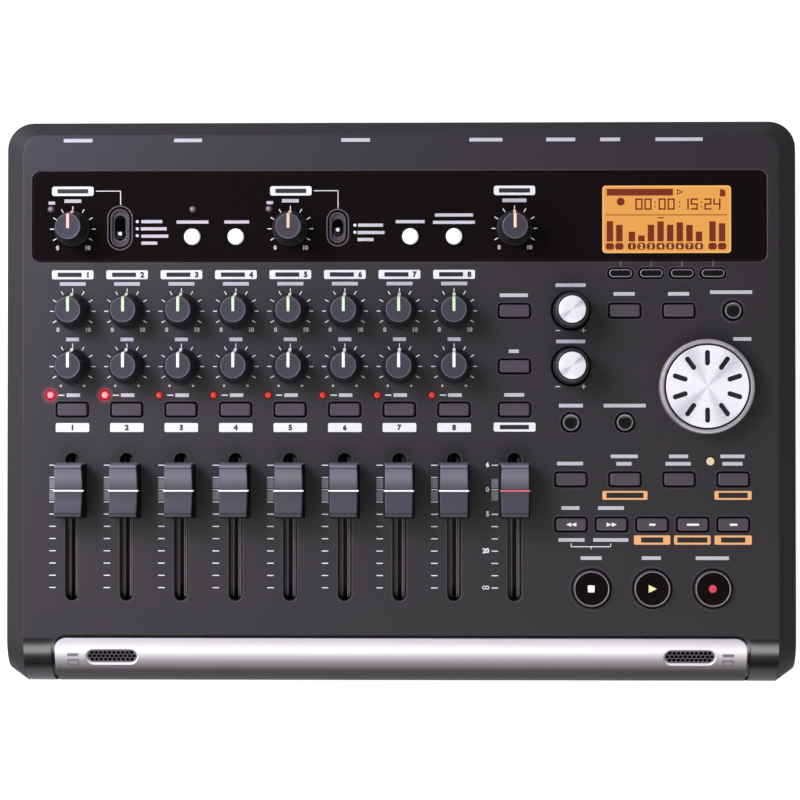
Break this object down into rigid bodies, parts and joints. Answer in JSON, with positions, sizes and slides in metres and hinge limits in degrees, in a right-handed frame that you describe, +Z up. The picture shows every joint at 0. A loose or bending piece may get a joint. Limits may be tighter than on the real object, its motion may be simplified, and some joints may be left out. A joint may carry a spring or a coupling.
{
  "type": "multitrack recorder",
  "caption": "Desktop multitrack recorder: a wedge case with a sloping deck of knobs, faders and keys, a lit display, a data wheel, a front strip with microphones and rear sockets.",
  "frame": {"origin": "on the floor under the middle of the case, so the bottom centre of the box", "axes": "+X to the right along the deck, +Y to the rear, +Z up"},
  "size_m": [0.29, 0.2048, 0.0566],
  "materials": {
    "case_dark": "fine textured satin",
    "base_dark": "fine textured",
    "gloss_black": "high gloss",
    "silver_strip": "satin brushed along its length",
    "mesh_dark": "satin",
    "board_green": "solder mask",
    "display_amber": "lit liquid crystal",
    "knob_grey": "satin",
    "spun_silver": "spun",
    "key_grey": "satin",
    "key_white": "satin",
    "button_black": "gloss",
    "fader_grey": "satin",
    "socket_black": "satin",
    "socket_metal": "plated"
  },
  "bodies": {
    "case": {"top_cover": "case_dark", "bottom_cover": "base_dark", "gloss_panel": "gloss_black", "lcd_module": "display_amber", "front_strip": "silver_strip", "mic_grille_left": "mesh_dark", "mic_grille_right": "mesh_dark", "control_board": "board_green", "jack_board": "board_green", "input_a_sockets": "socket_black", "input_b_sockets": "socket_black", "line_out_sockets": "socket_metal", "phones_jack": "socket_black"},
    "fader_1": {"fader_1": "fader_grey"},
    "reverb_knob_1": {"reverb_knob_1": "knob_grey"},
    "pan_knob_1": {"pan_knob_1": "knob_grey"},
    "trim_knob_a": {"trim_knob_a": "knob_grey"},
    "input_a_switch": {"input_a_switch": "key_grey"},
    "input_b_switch": {"input_b_switch": "key_grey"},
    "record_keys": {"record_keys": "key_grey"},
    "stop_button": {"stop_button": "button_black"},
    "data_wheel": {"data_wheel": "spun_silver"},
    "eq_high_knob": {"eq_high_knob": "spun_silver"},
    "card_door": {"card_door": "base_dark"},
    "power_button": {"power_button": "button_black"},
    "master_fader": {"master_fader": "fader_grey"},
    "play_button": {"play_button": "button_black"},
    "record_button": {"record_button": "button_black"},
    "input_keys": {"input_keys": "key_white"},
    "mix_keys": {"mix_keys": "key_white"},
    "channel_keys": {"channel_keys": "key_grey"},
    "display_keys": {"display_keys": "key_grey"},
    "menu_keys": {"menu_keys": "key_grey"},
    "tuner_keys": {"tuner_keys": "key_grey"},
    "locate_keys": {"locate_keys": "key_grey"},
    "wind_keys": {"wind_keys": "key_grey"},
    "eq_low_knob": {"eq_low_knob": "spun_silver"},
    "trim_knob_b": {"trim_knob_b": "knob_grey"},
    "phones_knob": {"phones_knob": "knob_grey"},
    "fader_2": {"fader_2": "fader_grey"},
    "fader_3": {"fader_3": "fader_grey"},
    "fader_4": {"fader_4": "fader_grey"},
    "fader_5": {"fader_5": "fader_grey"},
    "fader_6": {"fader_6": "fader_grey"},
    "fader_7": {"fader_7": "fader_grey"},
    "fader_8": {"fader_8": "fader_grey"},
    "reverb_knob_2": {"reverb_knob_2": "knob_grey"},
    "reverb_knob_3": {"reverb_knob_3": "knob_grey"},
    "reverb_knob_4": {"reverb_knob_4": "knob_grey"},
    "reverb_knob_5": {"reverb_knob_5": "knob_grey"},
    "reverb_knob_6": {"reverb_knob_6": "knob_grey"},
    "reverb_knob_7": {"reverb_knob_7": "knob_grey"},
    "reverb_knob_8": {"reverb_knob_8": "knob_grey"},
    "pan_knob_2": {"pan_knob_2": "knob_grey"},
    "pan_knob_3": {"pan_knob_3": "knob_grey"},
    "pan_knob_4": {"pan_knob_4": "knob_grey"},
    "pan_knob_5": {"pan_knob_5": "knob_grey"},
    "pan_knob_6": {"pan_knob_6": "knob_grey"},
    "pan_knob_7": {"pan_knob_7": "knob_grey"},
    "pan_knob_8": {"pan_knob_8": "knob_grey"}
  },
  "joints": [
    {"name": "fader_1_slide", "type": "slide", "parent": "case", "child": "fader_1", "axis": [0, 0.9976, 0.0698], "range_m": [-0.03584, 0.00896]},
    {"name": "reverb_knob_1_turn", "type": "hinge", "parent": "case", "child": "reverb_knob_1", "pos_m": [-0.1202, 0.03254, 0.04086], "axis": [0, -0.0698, 0.9976], "range_deg": [-150, 150]},
    {"name": "pan_knob_1_turn", "type": "hinge", "parent": "case", "child": "pan_knob_1", "pos_m": [-0.1202, 0.01229, 0.03944], "axis": [0, -0.0698, 0.9976], "range_deg": [-150, 150]},
    {"name": "trim_knob_a_turn", "type": "hinge", "parent": "case", "child": "trim_knob_a", "pos_m": [-0.1202, 0.06267, 0.04296], "axis": [0, -0.0698, 0.9976], "range_deg": [-150, 150]},
    {"name": "input_a_switch_slide", "type": "slide", "parent": "case", "child": "input_a_switch", "axis": [0, 0.9976, 0.0698], "range_m": [0, 0.0052]},
    {"name": "input_b_switch_slide", "type": "slide", "parent": "case", "child": "input_b_switch", "axis": [0, 0.9976, 0.0698], "range_m": [0, 0.0025]},
    {"name": "record_keys_press", "type": "slide", "parent": "case", "child": "record_keys", "axis": [0, 0.0698, -0.9976], "range_m": [0, 0.0008], "stiffness_N_per_m": 1000},
    {"name": "stop_button_press", "type": "slide", "parent": "case", "child": "stop_button", "axis": [0, 0.0698, -0.9976], "range_m": [0, 0.001], "stiffness_N_per_m": 1000},
    {"name": "data_wheel_turn", "type": "hinge", "parent": "case", "child": "data_wheel", "pos_m": [0.11175, 0.00481, 0.03892], "axis": [0, -0.0698, 0.9976], "continuous": true},
    {"name": "eq_high_knob_turn", "type": "hinge", "parent": "case", "child": "eq_high_knob", "pos_m": [0.0625, 0.03254, 0.04086], "axis": [0, -0.0698, 0.9976], "continuous": true},
    {"name": "card_door_hinge", "type": "hinge", "parent": "case", "child": "card_door", "pos_m": [0.1442, 0.02441, 0.0112], "axis": [0, 1, 0], "range_deg": [0, 95]},
    {"name": "power_button_press", "type": "slide", "parent": "case", "child": "power_button", "axis": [0, -1, 0], "range_m": [0, 0.0012], "stiffness_N_per_m": 600},
    {"name": "master_fader_slide", "type": "slide", "parent": "case", "child": "master_fader", "axis": [0, 0.9976, 0.0698], "range_m": [-0.03584, 0.00896]},
    {"name": "play_button_press", "type": "slide", "parent": "case", "child": "play_button", "axis": [0, 0.0698, -0.9976], "range_m": [0, 0.001], "stiffness_N_per_m": 1000},
    {"name": "record_button_press", "type": "slide", "parent": "case", "child": "record_button", "axis": [0, 0.0698, -0.9976], "range_m": [0, 0.001], "stiffness_N_per_m": 1000},
    {"name": "input_keys_press", "type": "slide", "parent": "case", "child": "input_keys", "axis": [0, 0.0698, -0.9976], "range_m": [0, 0.0008], "stiffness_N_per_m": 1000},
    {"name": "mix_keys_press", "type": "slide", "parent": "case", "child": "mix_keys", "axis": [0, 0.0698, -0.9976], "range_m": [0, 0.0008], "stiffness_N_per_m": 1000},
    {"name": "channel_keys_press", "type": "slide", "parent": "case", "child": "channel_keys", "axis": [0, 0.0698, -0.9976], "range_m": [0, 0.0008], "stiffness_N_per_m": 1000},
    {"name": "display_keys_press", "type": "slide", "parent": "case", "child": "display_keys", "axis": [0, 0.0698, -0.9976], "range_m": [0, 0.0008], "stiffness_N_per_m": 1000},
    {"name": "menu_keys_press", "type": "slide", "parent": "case", "child": "menu_keys", "axis": [0, 0.0698, -0.9976], "range_m": [0, 0.0008], "stiffness_N_per_m": 1000},
    {"name": "tuner_keys_press", "type": "slide", "parent": "case", "child": "tuner_keys", "axis": [0, 0.0698, -0.9976], "range_m": [0, 0.0008], "stiffness_N_per_m": 1000},
    {"name": "locate_keys_press", "type": "slide", "parent": "case", "child": "locate_keys", "axis": [0, 0.0698, -0.9976], "range_m": [0, 0.0008], "stiffness_N_per_m": 1000},
    {"name": "wind_keys_press", "type": "slide", "parent": "case", "child": "wind_keys", "axis": [0, 0.0698, -0.9976], "range_m": [0, 0.0008], "stiffness_N_per_m": 1000},
    {"name": "eq_low_knob_turn", "type": "hinge", "parent": "case", "child": "eq_low_knob", "pos_m": [0.0625, 0.01229, 0.03944], "axis": [0, -0.0698, 0.9976], "continuous": true},
    {"name": "trim_knob_b_turn", "type": "hinge", "parent": "case", "child": "trim_knob_b", "pos_m": [-0.0402, 0.06267, 0.04296], "axis": [0, -0.0698, 0.9976], "range_deg": [-150, 150]},
    {"name": "phones_knob_turn", "type": "hinge", "parent": "case", "child": "phones_knob", "pos_m": [0.0419, 0.06267, 0.04296], "axis": [0, -0.0698, 0.9976], "range_deg": [-150, 150]},
    {"name": "fader_2_slide", "type": "slide", "parent": "case", "child": "fader_2", "axis": [0, 0.9976, 0.0698], "range_m": [-0.03584, 0.00896]},
    {"name": "fader_3_slide", "type": "slide", "parent": "case", "child": "fader_3", "axis": [0, 0.9976, 0.0698], "range_m": [-0.03584, 0.00896]},
    {"name": "fader_4_slide", "type": "slide", "parent": "case", "child": "fader_4", "axis": [0, 0.9976, 0.0698], "range_m": [-0.03584, 0.00896]},
    {"name": "fader_5_slide", "type": "slide", "parent": "case", "child": "fader_5", "axis": [0, 0.9976, 0.0698], "range_m": [-0.03584, 0.00896]},
    {"name": "fader_6_slide", "type": "slide", "parent": "case", "child": "fader_6", "axis": [0, 0.9976, 0.0698], "range_m": [-0.03584, 0.00896]},
    {"name": "fader_7_slide", "type": "slide", "parent": "case", "child": "fader_7", "axis": [0, 0.9976, 0.0698], "range_m": [-0.03584, 0.00896]},
    {"name": "fader_8_slide", "type": "slide", "parent": "case", "child": "fader_8", "axis": [0, 0.9976, 0.0698], "range_m": [-0.03584, 0.00896]},
    {"name": "reverb_knob_2_turn", "type": "hinge", "parent": "case", "child": "reverb_knob_2", "pos_m": [-0.1002, 0.03254, 0.04086], "axis": [0, -0.0698, 0.9976], "range_deg": [-150, 150]},
    {"name": "reverb_knob_3_turn", "type": "hinge", "parent": "case", "child": "reverb_knob_3", "pos_m": [-0.0802, 0.03254, 0.04086], "axis": [0, -0.0698, 0.9976], "range_deg": [-150, 150]},
    {"name": "reverb_knob_4_turn", "type": "hinge", "parent": "case", "child": "reverb_knob_4", "pos_m": [-0.0602, 0.03254, 0.04086], "axis": [0, -0.0698, 0.9976], "range_deg": [-150, 150]},
    {"name": "reverb_knob_5_turn", "type": "hinge", "parent": "case", "child": "reverb_knob_5", "pos_m": [-0.0402, 0.03254, 0.04086], "axis": [0, -0.0698, 0.9976], "range_deg": [-150, 150]},
    {"name": "reverb_knob_6_turn", "type": "hinge", "parent": "case", "child": "reverb_knob_6", "pos_m": [-0.0202, 0.03254, 0.04086], "axis": [0, -0.0698, 0.9976], "range_deg": [-150, 150]},
    {"name": "reverb_knob_7_turn", "type": "hinge", "parent": "case", "child": "reverb_knob_7", "pos_m": [-0.0002, 0.03254, 0.04086], "axis": [0, -0.0698, 0.9976], "range_deg": [-150, 150]},
    {"name": "reverb_knob_8_turn", "type": "hinge", "parent": "case", "child": "reverb_knob_8", "pos_m": [0.0198, 0.03254, 0.04086], "axis": [0, -0.0698, 0.9976], "range_deg": [-150, 150]},
    {"name": "pan_knob_2_turn", "type": "hinge", "parent": "case", "child": "pan_knob_2", "pos_m": [-0.1002, 0.01229, 0.03944], "axis": [0, -0.0698, 0.9976], "range_deg": [-150, 150]},
    {"name": "pan_knob_3_turn", "type": "hinge", "parent": "case", "child": "pan_knob_3", "pos_m": [-0.0802, 0.01229, 0.03944], "axis": [0, -0.0698, 0.9976], "range_deg": [-150, 150]},
    {"name": "pan_knob_4_turn", "type": "hinge", "parent": "case", "child": "pan_knob_4", "pos_m": [-0.0602, 0.01229, 0.03944], "axis": [0, -0.0698, 0.9976], "range_deg": [-150, 150]},
    {"name": "pan_knob_5_turn", "type": "hinge", "parent": "case", "child": "pan_knob_5", "pos_m": [-0.0402, 0.01229, 0.03944], "axis": [0, -0.0698, 0.9976], "range_deg": [-150, 150]},
    {"name": "pan_knob_6_turn", "type": "hinge", "parent": "case", "child": "pan_knob_6", "pos_m": [-0.0202, 0.01229, 0.03944], "axis": [0, -0.0698, 0.9976], "range_deg": [-150, 150]},
    {"name": "pan_knob_7_turn", "type": "hinge", "parent": "case", "child": "pan_knob_7", "pos_m": [-0.0002, 0.01229, 0.03944], "axis": [0, -0.0698, 0.9976], "range_deg": [-150, 150]},
    {"name": "pan_knob_8_turn", "type": "hinge", "parent": "case", "child": "pan_knob_8", "pos_m": [0.0198, 0.01229, 0.03944], "axis": [0, -0.0698, 0.9976], "range_deg": [-150, 150]}
  ]
}
